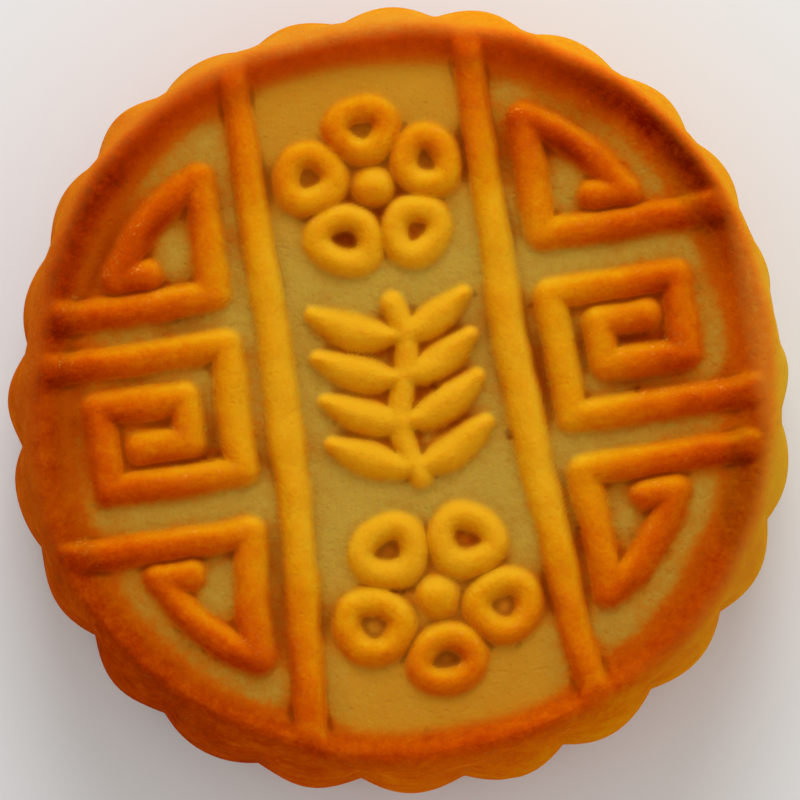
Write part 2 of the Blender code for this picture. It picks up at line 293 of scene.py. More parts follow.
sprig = {
    "halfLength": 8.6, "sway": 0.9, "stemPart": 0.85,
    "pairs": 4, "first": -7.6, "leafPitch": 4.3, "root": 0.5, "reach": 7.0, "rise": 3.1, "risePower": 1.6,
    "leafThin": 0.60, "leafSwell": 0.62,
    "halfWidth": 1.50, "height": 1.45, "roundness": 2.2, "fillet": 0.60,
}
part = np.linspace(-1.0, 1.0, 15)
stem = np.stack([sprig["sway"] * np.sin(np.pi * part), sprig["halfLength"] * part - blossom["drop"],
                 np.full_like(part, sprig["stemPart"])], axis=1)
pressStroke(stem, sprig)
part = np.linspace(0.0, 1.0, 9)
for pair in range(sprig["pairs"]):
    for side in (-1, 1):
        # a leaf rises as its way out to a power; its width swells by half a sine wave
        leafStart = sprig["first"] + sprig["leafPitch"] * pair - blossom["drop"]
        leaf = np.stack([side * (sprig["root"] + sprig["reach"] * part),
                         leafStart + sprig["rise"] * part ** sprig["risePower"],
                         sprig["leafThin"] + sprig["leafSwell"] * np.sin(np.pi * part)], axis=1)
        pressStroke(leaf, sprig)
print("relief pressed:", round(float(relief.max()), 2), "mm over the sunken top")

# the rim: half a cosine wave from the sunken top up to the crest, then down the shoulder
rim = {
    "floorPlay": 0.05, "floorSize": 7.0,        # unevenness: how much, and the size of its waves
    "crestPlay": 0.08, "ringPlay": 0.10, "rimSize": 12.0,
    "climbEnd": (-1.3, 0.7),                    # ridges die out here, from the crest
    "levelFillet": 0.5, "levelGap": 0.02,       # ridges round off this close under the crest's height
    "smoothing": 0.15,
}
ringRadius = fieldRadius + rim["ringPlay"] * waves(fieldX, fieldY, rim["rimSize"], 21)
slopeFoot, crestLine = slopeAt(fieldAngle), crestAt(fieldAngle)
pastCrest = ringRadius - crestLine
rimPart = np.clip((ringRadius - slopeFoot) / (crestLine - slopeFoot), 0.0, 1.0)
risen = rimPart ** body["slopePower"]
topHeight = np.where(pastCrest > 0.0, shoulderHeight(ringRadius, fieldAngle),
                     body["floorHeight"] + body["rimDepth"] * (1.0 - np.cos(np.pi * risen)) / 2.0)

# the ridges climb the rim, level off at its height and die out past the crest
climb = 1.0 - smoothStep(pastCrest, *rim["climbEnd"])
topHeight += relief * climb
level = np.full_like(topHeight, body["crestHeight"] - rim["levelGap"])
topHeight = -softMax(-topHeight, -level, rim["levelFillet"])
floorPlay = rim["floorPlay"] * waves(fieldX, fieldY, rim["floorSize"], 22)
topHeight += floorPlay * (1.0 - 0.5 * cover) * (1.0 - rimPart)
crestPlay = rim["crestPlay"] * (1.0 + waves(fieldX, fieldY, rim["rimSize"], 23))
topHeight -= crestPlay * smoothStep(rimPart, 0.5, 1.0)
topHeight = blurred(topHeight, rim["smoothing"])
reached = fieldRadius < crestLine + 1.0
topHeight -= max(topHeight[reached].max() - body["crestHeight"], 0.0)

# what the oven does, and which way flanks face for painted light and shade: masks from 0 to 1, or -1 to 1
# where they have a sense; lengths in mm
browning = {
    "start": 0.52,                                          # the rim browns from here past the slope's foot
    "lean": 0.30, "leanHeading": math.radians(90.0),        # later on this side than on the far side
    "sway": 0.28, "swayHeading": math.radians(56.0),        # later on this side and opposite
    "tan": (0.0, 0.50), "brown": (0.12, 0.85),              # parts of the way from there to the crest
    "footFade": (0.10, 0.85), "sideFrom": (-0.5, 1.3),      # and distances past the crest
    "sheenBandFrom": (-0.9, 0.5), "sheenBandTo": (1.4, 4.0),
    "ridgeBlur": 0.14, "haloBlur": 0.85, "rimBlur": 0.2, "slopeBlur": 0.30, "nearBlur": 2.0,
    "nearHalo": (0.47, 1.3), "nearChannel": (0.52, 0.2),    # how near ridges must be, and how fast it tells
    "hollowBlur": 0.8, "hollowDepth": 0.45, "hollowFade": (0.9, 1.0),
    "fullSlope": 1.1,                                       # a ridge's flank this steep counts in full
    "edgeBlur": 0.5, "uprightBlur": 1.2, "slantBlur": 1.0, "fretBlur": 0.3,
    "uprightPart": 0.55, "slantPart": 0.15, "slantShadedFlank": 1.1, "slantFade": (-5.0, 5.0),
}
brownFrom = (slopeFoot + browning["start"]
             + browning["lean"] * np.cos(fieldAngle - browning["leanHeading"])
             + browning["sway"] * np.cos(2.0 * (fieldAngle - browning["swayHeading"])))
brownPart = np.clip((ringRadius - brownFrom) / (crestLine - brownFrom), 0.0, 1.0)
ridgeCover = cover * climb
rimMask = smoothStep(brownPart, *browning["tan"])
raised = np.maximum(ridgeCover, rimMask)
nearRidges = blurred(raised, browning["nearBlur"])          # high where ridges stand close together
sideMask = smoothStep(pastCrest, *browning["sideFrom"])
brink = smoothStep(brownPart, *browning["brown"]) * (1.0 - sideMask) * (1.0 - 0.5 * ridgeCover)
foot = rimMask * (1.0 - smoothStep(brownPart, *browning["footFade"]))
hollow = (blurred(topHeight, browning["hollowBlur"]) - topHeight) / browning["hollowDepth"]
haloStart, haloRate = browning["nearHalo"]
channelStart, channelWidth = browning["nearChannel"]
slopes = np.gradient(blurred(relief * climb, browning["slopeBlur"]), browning["fullSlope"] * field["step"])
facingX, facingY = [np.clip(-slope, -1.0, 1.0) for slope in slopes]
topMasks = {
    "ridge": blurred(raised, browning["ridgeBlur"]),
    "halo": blurred(raised, browning["haloBlur"]) + haloRate * np.clip(nearRidges - haloStart, 0.0, 1.0),
    "hollow": np.clip(hollow, -1.0, 1.0) * (1.0 - smoothStep(rimPart, *browning["hollowFade"])),
    "side": sideMask,
    "brink": blurred(brink, browning["rimBlur"]),           # the brown upper part of the rim's slope
    "foot": blurred(foot, browning["rimBlur"]),             # the tan lower part
    # the band just past the crest, where the crust paints a pale sheen: painted highlight
    "sheenBand": (smoothStep(pastCrest, *browning["sheenBandFrom"])
               * (1.0 - smoothStep(pastCrest, *browning["sheenBandTo"]))),
    "facesPlusY": facingY,                                     # flanks facing +Y, towards the lamp, which the crust paints lighter: painted light
    # flanks facing +X, which the crust paints lighter: painted light
    "sideways": facingX,
}
# narrow floor channels between close ridges, darkened in patches as painted shade
narrow = np.clip((nearRidges - channelStart) / channelWidth, 0.0, 1.0)
topMasks["channel"] = narrow * (1.0 - topMasks["ridge"]) * (1.0 - rimMask)

# how a ridge runs, from the slopes of its edges: upright is 1 along Y, slanted is 1 at 45 degrees
edgeX, edgeY = np.gradient(blurred(cover, browning["edgeBlur"]))


def shareOfEdges(values, spread):
    # the blurred values over the blurred square of the edge slopes, kept from dividing by nothing
    return np.clip(blurred(values, spread) / (blurred(edgeX ** 2 + edgeY ** 2, spread) + 1e-6), -1.0, 1.0)


upright = np.clip(shareOfEdges(edgeX ** 2, browning["uprightBlur"]), 0.0, 1.0)
slanted = np.clip(np.abs(2.0 * shareOfEdges(edgeX * edgeY, browning["slantBlur"])), 0.0, 1.0)
# lower flanks of slanted runs, facing away from the lamp, bake darker in the +Y half: painted shade
slantBake = browning["slantPart"] + browning["slantShadedFlank"] * np.clip(-facingY, 0.0, 1.0)
slantBake = slanted * slantBake * smoothStep(fieldY, *browning["slantFade"])
topMasks["fret"] = (blurred(fretPart * climb, browning["fretBlur"])
                    * (1.0 - browning["uprightPart"] * upright + slantBake))


def sampled(values, x, y):
    # the field's value between its places: bilinear
    column = np.clip((x + field["half"]) / field["step"], 0.0, len(axis) - 1.001)
    row = np.clip((y + field["half"]) / field["step"], 0.0, len(axis) - 1.001)
    i, j = column.astype(int), row.astype(int)
    u, v = column - i, row - j
    return ((1 - u) * (1 - v) * values[i, j] + u * (1 - v) * values[i + 1, j]
            + (1 - u) * v * values[i, j + 1] + u * v * values[i + 1, j + 1])


# the cake's surface: a disc grid on top, rings down the side, rings under the base
skin = {"gridSteps": 240, "edgePast": 1.1, "shoulderRows": 11, "sideRows": 15, "footRows": 4, "baseRings": 4,
        "blendRows": (24.0, 30.5)}      # over these heights the side takes up the grid edge's unevenness

flutes = {
    "count": 24, "depth": 1.2, "mean": 0.74, "fadeTop": 30.2, "fadeBottom": 25.8,
    "turn": math.radians(-6.9), "drift": math.radians(2.6),
    "outline": [(2, 0.23, 52.1), (3, 0.14, 83.8), (4, 0.36, 42.5), (5, 0.11, 47.5), (7, 0.20, 26.3)],
    "lobePlay": 0.18, "playRadius": 39.0, "playSize": 17.0,
}


def discGrid(steps, radius):
    # a square grid bent to a disc: each square ring becomes a circle, with equal angles along it
    side = np.linspace(-1.0, 1.0, steps + 1)
    u, v = np.meshgrid(side, side, indexing="ij")
    wide = np.abs(u) >= np.abs(v)
    along = np.where(wide, u, v)
    safe = np.where(along == 0.0, 1.0, along)
    angle = np.where(wide, np.pi / 4.0 * v / safe, np.pi / 2.0 - np.pi / 4.0 * u / safe)
    return radius * along * np.cos(angle), radius * along * np.sin(angle)


def gridEdge(steps):
    # the numbers of the grid's edge points, once round against the clock from the corner at -45 degrees
    number = np.arange((steps + 1) ** 2).reshape(steps + 1, steps + 1)
    return np.concatenate([number[-1, :-1], number[::-1, -1][:-1], number[0, ::-1][:-1], number[:-1, 0]])


def ringBand(first, second):
    # quads between two rings of point numbers
    return np.stack([first, second, np.roll(second, -1), np.roll(first, -1)], axis=1)


def fluteOffset(angle):
    # round lobes with sharp furrows, |cos| of half the flute count, on an outline a little out of round
    step = angle - flutes["turn"]
    for _ in range(4):
        step = angle - flutes["turn"] - flutes["drift"] * np.cos(step)
    lobe = np.abs(np.cos(step * flutes["count"] / 2.0)) - flutes["mean"]
    x, y = flutes["playRadius"] * np.cos(angle), flutes["playRadius"] * np.sin(angle)
    play = 1.0 + flutes["lobePlay"] * waves(x, y, flutes["playSize"], 31)
    return flutes["depth"] * lobe * play + roundWaves(angle, flutes["outline"]), lobe


steps = skin["gridSteps"]
columns = 4 * steps
topX, topY = discGrid(steps, 1.0)
gridAngle = np.arctan2(topY, topX)
gridRing = np.hypot(topX, topY)
edgeMean = body["crestRadius"] + skin["edgePast"]
reach = edgeMean + (crestAt(gridAngle) - body["crestRadius"]) * gridRing ** 4
topX, topY = topX * reach, topY * reach
topZ = sampled(topHeight, topX, topY)
edge = gridEdge(steps)
angle = gridAngle.ravel()[edge]
edgeZ = topZ.ravel()[edge]

# rows of the side: radius and height run down the shoulder, the side and the round foot
crest = crestAt(angle)[None, :]
down = np.linspace(0.0, 1.0, skin["shoulderRows"] + 1)[1:, None]
firstTurn = np.arcsin(skin["edgePast"] / (body["waistRadius"] - crest))
shoulderTurn = firstTurn + (math.pi / 2.0 - firstTurn) * down
shoulderR = crest + (body["waistRadius"] - crest) * np.sin(shoulderTurn)
shoulderZ = (body["waistHeight"] + (body["crestHeight"] - body["waistHeight"])
             * np.clip(np.cos(shoulderTurn), 0.0, 1.0) ** (2.0 / body["shoulderPower"]))
lowZ = np.linspace(body["waistHeight"], body["footRounding"], skin["sideRows"] + 1)[1:]
lowR = body["waistRadius"] - body["footTaper"] * (1.0 - lowZ / body["waistHeight"]) ** 2
footTurn = np.linspace(0.0, math.pi / 2.0, skin["footRows"] + 1)[1:]
footR = lowR[-1] - body["footRounding"] * (1.0 - np.cos(footTurn))
footZ = body["footRounding"] * (1.0 - np.sin(footTurn))
lowR = np.concatenate([lowR, footR])[:, None] * np.ones_like(crest)
lowZ = np.concatenate([lowZ, footZ])[:, None] * np.ones_like(crest)
rowRadius = np.concatenate([shoulderR, lowR])
rowHeight = np.concatenate([shoulderZ, lowZ])

offset, lobe = fluteOffset(angle)
fade = smoothStep(rowHeight, flutes["fadeTop"], flutes["fadeBottom"])
sideR = rowRadius + fade * offset[None, :]
edgeMiss = edgeZ - shoulderHeight(crest[0] + skin["edgePast"], angle)
sideZ = rowHeight + edgeMiss[None, :] * smoothStep(rowHeight, *skin["blendRows"])
sideX, sideY = sideR * np.cos(angle), sideR * np.sin(angle)

shrink = np.linspace(1.0, 0.0, skin["baseRings"] + 1)[1:-1, None]
baseX, baseY = sideX[-1] * shrink, sideY[-1] * shrink
baseZ = np.zeros_like(baseX)

points = np.concatenate([
    np.stack([topX.ravel(), topY.ravel(), topZ.ravel()], axis=1),
    np.stack([sideX.ravel(), sideY.ravel(), sideZ.ravel()], axis=1),
    np.stack([baseX.ravel(), baseY.ravel(), baseZ.ravel()], axis=1),
    [(0.0, 0.0, 0.0)],
]) * mm
points = np.clip(points, np.array(cadLow), np.array(cadHigh))

number = np.arange((steps + 1) ** 2).reshape(steps + 1, steps + 1)
topQuads = np.stack([number[:-1, :-1], number[1:, :-1], number[1:, 1:], number[:-1, 1:]], axis=-1)
topQuads = topQuads.reshape(-1, 4)
ringCount = len(rowRadius) + len(baseX)
rings = [edge] + [topX.size + columns * k + np.arange(columns) for k in range(ringCount)]
bandQuads = [ringBand(first, second) for first, second in zip(rings, rings[1:])]
centre = len(points) - 1
fan = np.stack([rings[-1], np.full(columns, centre), np.roll(rings[-1], -1)], axis=1)
faces = topQuads.tolist() + np.concatenate(bandQuads).tolist() + fan.tolist()

mesh = bpy.data.meshes.new("cakeCrust")
mesh.from_pydata(points, [], faces)
mesh.update()
mesh.shade_smooth()
cake = bpy.data.objects.new("cakeCrust", mesh)
bpy.context.scene.collection.objects.link(cake)

# masks for each point: read from the field on top, worked out from height and furrow on the side
sideMasks = {
    "ridge": np.ones_like(sideZ),
    "halo": np.ones_like(sideZ),
    # the flutes' furrows, baked darker through the hollow bake: painted shade
    "hollow": smoothStep(-lobe, -0.05, flutes["mean"]) * fade,
    "side": np.ones_like(sideZ),
    "sheenBand": 1.0 - smoothStep(rowRadius - crest, *browning["sheenBandTo"]),
}
none = np.zeros_like(sideZ)
for name, values in topMasks.items():
    layer = mesh.attributes.new(name, "FLOAT", "POINT")
    base = np.full(baseX.size + 1, float(name in ("ridge", "side")))
    layer.data.foreach_set("value", np.concatenate([
        sampled(values, topX, topY).ravel(), sideMasks.get(name, none).ravel(), base]).astype(np.float32))

faceKind = np.zeros(len(faces), dtype=np.int32)
faceKind[len(topQuads) + columns * (len(rowRadius) - 1):] = 1
mesh.polygons.foreach_set("material_index", faceKind)
print("crust meshed:", len(points), "points,", sum(len(face) - 2 for face in faces), "triangles")


def addNode(tree, kind, sockets=None, **settings):
    made = tree.nodes.new(kind)
    for name, value in settings.items():
        setattr(made, name, value)
    for name, value in (sockets or {}).items():
        if isinstance(value, bpy.types.NodeSocket):
            tree.links.new(value, made.inputs[name])
        else:
            made.inputs[name].default_value = value
    return made


def maths(tree, operation, first, second=0.0, third=0.0, clamp=False):
    return addNode(tree, "ShaderNodeMath", {0: first, 1: second, 2: third},
                   operation=operation, use_clamp=clamp).outputs[0]


def mixed(tree, factor, first, second, blend="MIX"):
    # sockets 6 and 7 are the node's two colours, output 2 its colour
    return addNode(tree, "ShaderNodeMix", {0: factor, 6: first, 7: second},
                   data_type="RGBA", blend_type=blend).outputs[2]


def summed(tree, start, *terms, clamp=False):
    # start + mask * amount + mask * amount and so on; the last sum may be held between 0 and 1
    for index, (mask, amount) in enumerate(terms):
        start = maths(tree, "MULTIPLY_ADD", mask, amount, start, clamp=clamp and index == len(terms) - 1)
    return start


def product(tree, first, *others):
    # all the factors multiplied
    for other in others:
        first = maths(tree, "MULTIPLY", first, other)
    return first


def ranged(tree, value, low, high, toLow=0.0, toHigh=1.0, curve="LINEAR"):
    # toLow at low, toHigh at high, level beyond both
    sockets = {"Value": value, "From Min": low, "From Max": high, "To Min": toLow, "To Max": toHigh}
    return addNode(tree, "ShaderNodeMapRange", sockets, interpolation_type=curve).outputs[0]


def noise(tree, place, scale, detail, roughness=0.5):
    # soft noise between 0 and 1 with about scale bumps a metre
    sockets = {"Vector": place, "Scale": scale, "Detail": detail, "Roughness": roughness}
    return addNode(tree, "ShaderNodeTexNoise", sockets).outputs["Fac"]


def tone(red, green, blue):
    # a colour given as it looks on a screen, turned into the light it sends back
    def light(value):
        value /= 255.0
        return value / 12.92 if value <= 0.04045 else ((value + 0.055) / 1.055) ** 2.4
    return (light(red), light(green), light(blue), 1.0)


def toneRamp(tree, factor, stops):
    # straight between the given places and screen colours; the first two stops are the ramp's ends
    ramp = addNode(tree, "ShaderNodeValToRGB", {"Fac": factor})
    for index, (place, colour) in enumerate(stops):
        stop = ramp.color_ramp.elements[index] if index < 2 else ramp.color_ramp.elements.new(place)
        stop.position = place
        stop.color = tone(*colour)
    return ramp.outputs["Color"]


dough = {
    "slowScale": 420.0,                 # waviness, bumps per metre
    "fineHeight": 0.55, "slowHeight": 1.3, "pitHeight": 0.25, "pit": (0.05, 0.32, -1.0, 0.0),
    # from yellow gold over amber and orange to dark red-brown; the ramp starts with its two ends
    "tones": [(0.0, (228, 172, 26)), (1.0, (128, 22, 0)), (0.20, (223, 153, 10)),
              (0.42, (215, 120, 4)), (0.62, (203, 87, 2)), (0.82, (176, 54, 1))],
}


def makeCrumbGroup():
    # dough's fine skin: pores, soft grains and slow waviness, at the sizes given per millimetre
    group = bpy.data.node_groups.new("crumbSkin", "ShaderNodeTree")
    group.interface.new_socket("Place", in_out="INPUT", socket_type="NodeSocketVector")
    for name, value in (("Grain", 2.2), ("Pore", 1.2)):
        group.interface.new_socket(name, in_out="INPUT", socket_type="NodeSocketFloat").default_value = value
    for name in ("Height", "Fleck", "Mottle"):
        group.interface.new_socket(name, in_out="OUTPUT", socket_type="NodeSocketFloat")
    into = addNode(group, "NodeGroupInput")
    out = addNode(group, "NodeGroupOutput")
    place = into.outputs["Place"]
    grainScale = maths(group, "MULTIPLY", into.outputs["Grain"], 1.0 / mm)
    poreScale = maths(group, "MULTIPLY", into.outputs["Pore"], 1.0 / mm)
    fine = noise(group, place, grainScale, 3.0, 0.6)
    slow = noise(group, place, dough["slowScale"], 3.0, 0.55)
    pores = {"Vector": place, "Scale": poreScale, "Randomness": 1.0}
    pore = addNode(group, "ShaderNodeTexVoronoi", pores).outputs["Distance"]
    height = maths(group, "MULTIPLY", slow, dough["slowHeight"])
    height = summed(group, height, (fine, dough["fineHeight"]),
                    (ranged(group, pore, *dough["pit"]), dough["pitHeight"]))
    group.links.new(height, out.inputs["Height"])
    group.links.new(noise(group, place, poreScale, 4.0, 0.75), out.inputs["Fleck"])
    group.links.new(slow, out.inputs["Mottle"])
    return group


def makeOvenGroup():
    # browning: a tone for each amount of bake, from 0 to 1
    group = bpy.data.node_groups.new("ovenTone", "ShaderNodeTree")
    group.interface.new_socket("Bake", in_out="INPUT", socket_type="NodeSocketFloat")
    group.interface.new_socket("Colour", in_out="OUTPUT", socket_type="NodeSocketColor")
    into = addNode(group, "NodeGroupInput")
    out = addNode(group, "NodeGroupOutput")
    group.links.new(toneRamp(group, into.outputs["Bake"], dough["tones"]), out.inputs["Colour"])
    return group


crumbGroup = makeCrumbGroup()
ovenGroup = makeOvenGroup()


def newMaterial(name):
    material = bpy.data.materials.new(name)
    material.use_nodes = True
    tree = material.node_tree
    shader = tree.nodes["Principled BSDF"]
    return material, tree, shader


def placeGroup(tree, group, sockets):
    made = addNode(tree, "ShaderNodeGroup", node_tree=group)
    for name, value in sockets.items():
        if isinstance(value, bpy.types.NodeSocket):
            tree.links.new(value, made.inputs[name])
        else:
            made.inputs[name].default_value = value
    return made


def attribute(tree, name):
    return addNode(tree, "ShaderNodeAttribute", attribute_type="GEOMETRY", attribute_name=name).outputs["Fac"]


# the crust's finish: places are in mm from the cake's axis, and bake runs from 0, gold, to 1, dark red-brown;
# four numbers are a start, an end and the amounts at each
crust = {
    "grain": 2.2, "pore": 1.3, "patchScale": 95.0,              # bumps per mm, per mm and per metre
    "outward": (14.0, 33.5),                                    # from the pale middle to the brown outside
    "middleBake": 0.078, "outerBake": 0.45, "outerFret": 0.08,
    "fretBake": (0.21, -0.08),                                  # in the middle, and more outside
    # painted light and shade: flanks facing +X and +Y lighter, flanks facing -Y darker
    "sideLightBake": -0.09, "flankLightBake": -0.07, "litFlankBake": -0.18, "footBake": -0.01,
    # painted shade: hollows and the flutes' furrows bake darker
    "hollowShadeBake": (-0.5, 0.4, 0.0, 0.10),
    "patchBake": (0.30, -0.20), "mottleBake": 0.28, "fleckBake": 0.40,
    "streakScale": 60.0, "streakDrift": 6.0, "streakBake": 0.16,
    "rimBake": 0.16, "rimPerY": 2.44, "rimPerX": -0.87, "rimQuarters": 3.4e5,
    "rimCorner": ((36.0, 12.0), (49.8, -62.0)),                 # from here towards +X and +Y, per metre
    "rimFarY": (31.0, 34.5, 0.0, 0.08), "rimNearY": (-33.5, -35.0, 0.0, 0.12),
    "sideBake": -0.11, "sidePerX": -5.5, "sidePerY": -2.4,
    "sideCorner": (-43.0, -55.0, 0.0, 0.12), "sideFace": (20.0, 38.0, 0.07, -0.13), "faceTurn": 0.4,
    "groundTones": [(0.0, (192, 158, 60)), (1.0, (200, 94, 6)),
                    (0.40, (187, 140, 44)), (0.70, (192, 119, 22))],
    "groundOutward": 0.38, "groundHalo": 0.88, "groundFleck": 0.9, "groundMottle": 0.5, "groundPatch": 0.5,
    "endsTone": (206, 146, 32), "endsFrom": (13.0, 28.0, 0.0, 0.75), "endsBetween": (12.0, 9.0, 0.0, 1.0),
    "dull": -0.13, "dullPerY": -8.0, "dullPerX": -15.0, "dullFoot": 0.28, "dullTone": (205, 242, 250),
    "dullCorner": (37.0, 47.0, 0.0, 0.30),
    "dullPatches": ((6.0, 11.0, 0.0, 1.0), (27.8, 29.6, 0.0, 0.50)),    # off the X axis, and along it
    # painted light: a redder, brighter tone on the rim's slope towards +Y, which faces away from the lamp
    "paintedGlow": (24.0, 33.0, 0.0, 0.45), "paintedGlowTone": (232, 92, 6),
    # painted sheen: a paler tone on the crest's outer edge, most towards +X and +Y, nearest the lamp
    "sheen": 0.25, "sheenPerX": 14.0, "sheenPerY": 14.0, "sheenLeast": (0.12, 6.0), "sheenFleck": (0.62, 1.4),
    "sheenFar": (33.5, 35.2, 0.0, 1.0), "sheenTurn": (40.0, 49.0, 0.0, 1.0),
    "sheenTones": ((212, 148, 46), (224, 122, 24)),
    # painted shade below: darker tones in tight hollows, in narrow channels between ridges, and as dark
    # specks in hollows
    "creaseShadeFrom": (0.74, 1.0, 0.0, 0.50), "creaseShadeTone": (176, 134, 100), "rimShare": -0.8,
    "channelShadeFrom": (0.45, 0.60, 0.05, 0.90), "channelShadeTone": (196, 150, 110),
    "speckScale": 430.0, "speckFrom": (0.66, 0.80, 0.0, 0.80), "speckHollow": (0.25, 0.6, 0.0, 1.0),
    "speckShadeTone": (150, 96, 64),
    # painted glints: pale flecks on ridge flanks facing +Y, towards the lamp
    "glintFrom": (0.54, 0.68, 0.0, 0.60), "glintPatch": (0.43, 0.58, 0.0, 1.0),
    "glintFlank": (-0.1, 0.5, 0.12, 1.0), "glintTone": (238, 172, 58),
    "roughness": 0.60, "ridgeRough": -0.14, "fleckRough": 0.12, "sideRough": 0.08,
    "waxiness": 0.8, "waxDepth": 0.0011, "waxSpread": (1.0, 0.25, 0.08),
    "bump": 0.9, "bumpHeight": 0.00028,
}


def doughSkin(tree, place, look):
    # the shared fine skin with this finish's own sizes
    return placeGroup(tree, crumbGroup, {"Place": place, "Grain": look["grain"], "Pore": look["pore"]})


def bumped(tree, shader, skin, look):
    # the dough's fine skin as bump, at the strength and height of the finish
    sockets = {"Height": skin.outputs["Height"], "Strength": look["bump"], "Distance": look["bumpHeight"]}
    bump = addNode(tree, "ShaderNodeBump", sockets)
    tree.links.new(bump.outputs["Normal"], shader.inputs["Normal"])


def inMm(look):
    # a range whose first two numbers are places in mm, made metres
    return (look[0] * mm, look[1] * mm, *look[2:])


def crustPlace(tree):
    # what every part of the finish reads: the place, its patterns and the masks of the mesh
    place = addNode(tree, "ShaderNodeTexCoord").outputs["Object"]
    skin = doughSkin(tree, place, crust)
    spot = addNode(tree, "ShaderNodeSeparateXYZ", {0: place})
    here = {name: attribute(tree, name) for name in topMasks}
    here.update(place=place, skin=skin, x=spot.outputs["X"], y=spot.outputs["Y"])
    here["squareX"] = maths(tree, "POWER", here["x"], 2.0)
    here["squareY"] = maths(tree, "POWER", here["y"], 2.0)
    here["across"] = maths(tree, "ADD", here["x"], here["y"])
    radius = maths(tree, "SQRT", maths(tree, "ADD", here["squareX"], here["squareY"]))
    here["outward"] = ranged(tree, radius, *inMm(crust["outward"]), curve="SMOOTHSTEP")
    here["patch"] = noise(tree, place, crust["patchScale"], 2.0)
    here["patchy"] = maths(tree, "SUBTRACT", here["patch"], 0.5)
    here["mottle"] = maths(tree, "SUBTRACT", skin.outputs["Mottle"], 0.5)
    here["fleck"] = maths(tree, "SUBTRACT", skin.outputs["Fleck"], 0.5)
    here["slope"] = maths(tree, "ADD", here["brink"], here["foot"], clamp=True)
    here["topOnly"] = maths(tree, "SUBTRACT", 1.0, here["side"])
    here["offRim"] = maths(tree, "MULTIPLY_ADD", here["brink"], crust["rimShare"], 1.0, clamp=True)
    return here


def bakeHere(tree, here):
    # how brown the ridges, the rim and the side are, with painted light and shade on flanks and in hollows:
    # each mask times its amount, summed
    x, y, across = here["x"], here["y"], here["across"]
    rimBake = summed(tree, crust["rimBake"], (y, crust["rimPerY"]), (x, crust["rimPerX"]))
    quarters = product(tree, here["squareX"], here["squareY"], crust["rimQuarters"])
    rimBake = maths(tree, "ADD", rimBake, quarters)
    for start, rate in crust["rimCorner"]:
        past = maths(tree, "MAXIMUM", maths(tree, "SUBTRACT", across, start * mm), 0.0)
        rimBake = maths(tree, "MULTIPLY_ADD", past, rate, rimBake)
    for end in ("rimFarY", "rimNearY"):
        rimBake = maths(tree, "ADD", rimBake, ranged(tree, y, *inMm(crust[end])))
    sideBake = summed(tree, crust["sideBake"], (x, crust["sidePerX"]), (y, crust["sidePerY"]))
    sideBake = maths(tree, "ADD", sideBake, ranged(tree, across, *inMm(crust["sideCorner"])))
    facing = maths(tree, "MULTIPLY_ADD", y, crust["faceTurn"], x)
    face = ranged(tree, facing, *inMm(crust["sideFace"]), curve="SMOOTHSTEP")
    sideBake = maths(tree, "ADD", sideBake, face)

    # fine streaks run outwards over the rim: noise on the direction from the axis
    outwards = addNode(tree, "ShaderNodeVectorMath", {0: here["place"]}, operation="NORMALIZE").outputs[0]
    drift = addNode(tree, "ShaderNodeVectorMath", {0: here["place"], "Scale": crust["streakDrift"]},
                    operation="SCALE").outputs[0]
    streakPlace = addNode(tree, "ShaderNodeVectorMath", {0: outwards, 1: drift}, operation="ADD").outputs[0]
    streak = maths(tree, "SUBTRACT", noise(tree, streakPlace, crust["streakScale"], 2.0), 0.5)

    middle, outside = crust["fretBake"]
    onRidge, onRim = crust["patchBake"]
    bake = summed(
        tree, crust["middleBake"],
        (here["outward"], summed(tree, crust["outerBake"], (here["fret"], crust["outerFret"]))),
        # painted light and shade: flanks facing +X and +Y lighter, flanks facing -Y darker
        (here["sideways"], crust["sideLightBake"]),
        (here["fret"], summed(tree, middle, (here["outward"], outside))),
        (here["facesPlusY"], crust["flankLightBake"]),
        (maths(tree, "MAXIMUM", here["facesPlusY"], 0.0), crust["litFlankBake"]),
        (here["foot"], crust["footBake"]),
        (here["brink"], rimBake),
        (here["patchy"], summed(tree, onRidge, (here["brink"], onRim))),
        (here["mottle"], crust["mottleBake"]),
        (here["fleck"], crust["fleckBake"]),
        (product(tree, streak, here["brink"]), crust["streakBake"]),
        (here["side"], sideBake))
    # hollows and the flutes' furrows bake darker: painted shade
    return maths(tree, "ADD", ranged(tree, here["hollow"], *crust["hollowShadeBake"]), bake, clamp=True)


def groundTone(tree, here):
    # the sunken ground: olive-tan, browner outwards and beside ridges, brighter at both ends between the bars
    bake = maths(tree, "MULTIPLY", maths(tree, "POWER", here["outward"], 2.0), crust["groundOutward"])
    bake = summed(tree, bake, (here["halo"], crust["groundHalo"]), (here["fleck"], crust["groundFleck"]),
                  (here["mottle"], crust["groundMottle"]), (here["patchy"], crust["groundPatch"]), clamp=True)
    ground = toneRamp(tree, bake, crust["groundTones"])
    ends = ranged(tree, maths(tree, "ABSOLUTE", here["y"]), *inMm(crust["endsFrom"]))
    between = ranged(tree, maths(tree, "ABSOLUTE", here["x"]), *inMm(crust["endsBetween"]))
    return mixed(tree, product(tree, ends, between), ground, tone(*crust["endsTone"]))


